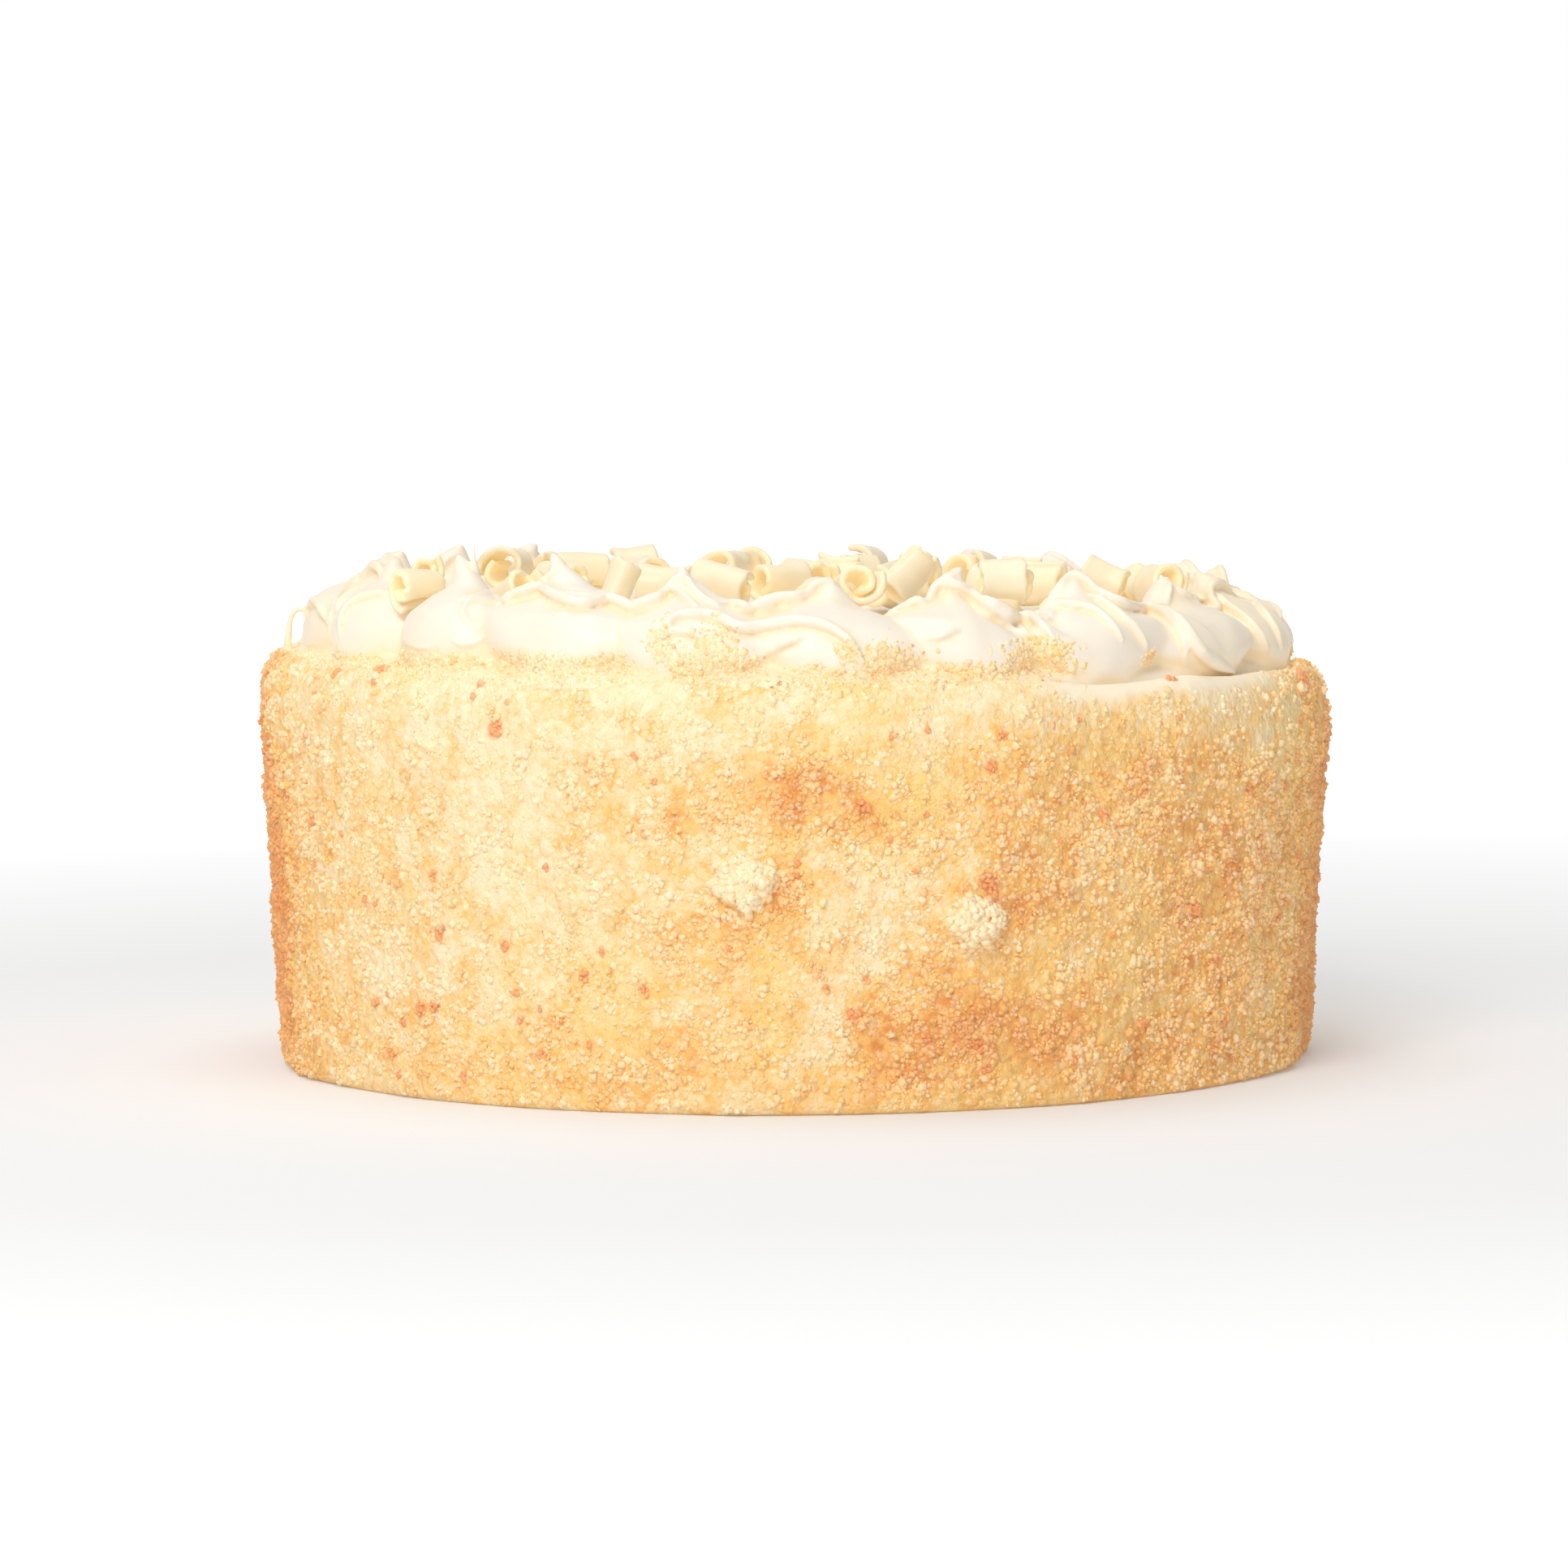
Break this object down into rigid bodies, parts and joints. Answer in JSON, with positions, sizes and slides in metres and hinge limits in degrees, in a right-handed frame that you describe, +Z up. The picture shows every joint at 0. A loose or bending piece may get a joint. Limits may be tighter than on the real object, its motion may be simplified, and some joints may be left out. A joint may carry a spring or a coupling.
{
  "type": "mousse cake",
  "caption": "Round mousse cake with a crumb-coated side, a ring of piped cream dollops on top and rolled chocolate curls strewn inside the ring.",
  "frame": {"origin": "centre of the cake's flat base", "axes": "+Z up, from the base to the cream; -Y is the side that the picture shows, +X is to its right"},
  "size_m": [0.1768, 0.1783, 0.0888],
  "materials": {
    "sponge_crumb": "rough, matt sponge crumbs pressed into pale cream",
    "whipped_cream": "smooth ivory whipped cream, soft satin",
    "white_chocolate": "waxy pale yellow chocolate, low sheen"
  },
  "bodies": {
    "root": {"cake_body": "sponge_crumb", "cream_layer": "whipped_cream", "cream_dollop_01": "whipped_cream", "cream_dollop_02": "whipped_cream", "cream_dollop_03": "whipped_cream", "cream_dollop_04": "whipped_cream", "cream_dollop_05": "whipped_cream", "cream_dollop_06": "whipped_cream", "cream_dollop_07": "whipped_cream", "cream_dollop_08": "whipped_cream", "cream_dollop_09": "whipped_cream", "cream_dollop_10": "whipped_cream", "cream_dollop_11": "whipped_cream", "cream_dollop_12": "whipped_cream", "cream_dollop_13": "whipped_cream", "cream_dollop_14": "whipped_cream", "cream_dollop_15": "whipped_cream", "cream_dollop_16": "whipped_cream", "cream_dollop_17": "whipped_cream", "cream_dollop_18": "whipped_cream", "cream_dollop_19": "whipped_cream", "cream_dollop_20": "whipped_cream", "cream_dollop_21": "whipped_cream", "cream_dollop_22": "whipped_cream", "chocolate_curl_01": "white_chocolate", "chocolate_curl_02": "white_chocolate", "chocolate_curl_03": "white_chocolate", "chocolate_curl_04": "white_chocolate", "chocolate_curl_05": "white_chocolate", "chocolate_curl_06": "white_chocolate", "chocolate_curl_07": "white_chocolate", "chocolate_curl_08": "white_chocolate", "chocolate_curl_09": "white_chocolate", "chocolate_curl_10": "white_chocolate", "chocolate_curl_11": "white_chocolate", "chocolate_curl_12": "white_chocolate", "chocolate_curl_13": "white_chocolate", "chocolate_curl_14": "white_chocolate", "chocolate_curl_15": "white_chocolate", "chocolate_curl_16": "white_chocolate", "chocolate_curl_17": "white_chocolate", "chocolate_curl_18": "white_chocolate", "chocolate_curl_19": "white_chocolate", "chocolate_curl_20": "white_chocolate", "chocolate_curl_21": "white_chocolate", "chocolate_curl_22": "white_chocolate", "chocolate_curl_23": "white_chocolate", "chocolate_curl_24": "white_chocolate", "chocolate_curl_25": "white_chocolate", "chocolate_curl_26": "white_chocolate", "chocolate_curl_27": "white_chocolate", "chocolate_curl_28": "white_chocolate", "chocolate_curl_29": "white_chocolate", "chocolate_curl_30": "white_chocolate", "chocolate_curl_31": "white_chocolate", "chocolate_curl_32": "white_chocolate", "chocolate_curl_33": "white_chocolate", "chocolate_curl_34": "white_chocolate", "chocolate_curl_35": "white_chocolate", "chocolate_curl_36": "white_chocolate"}
  },
  "joints": []
}
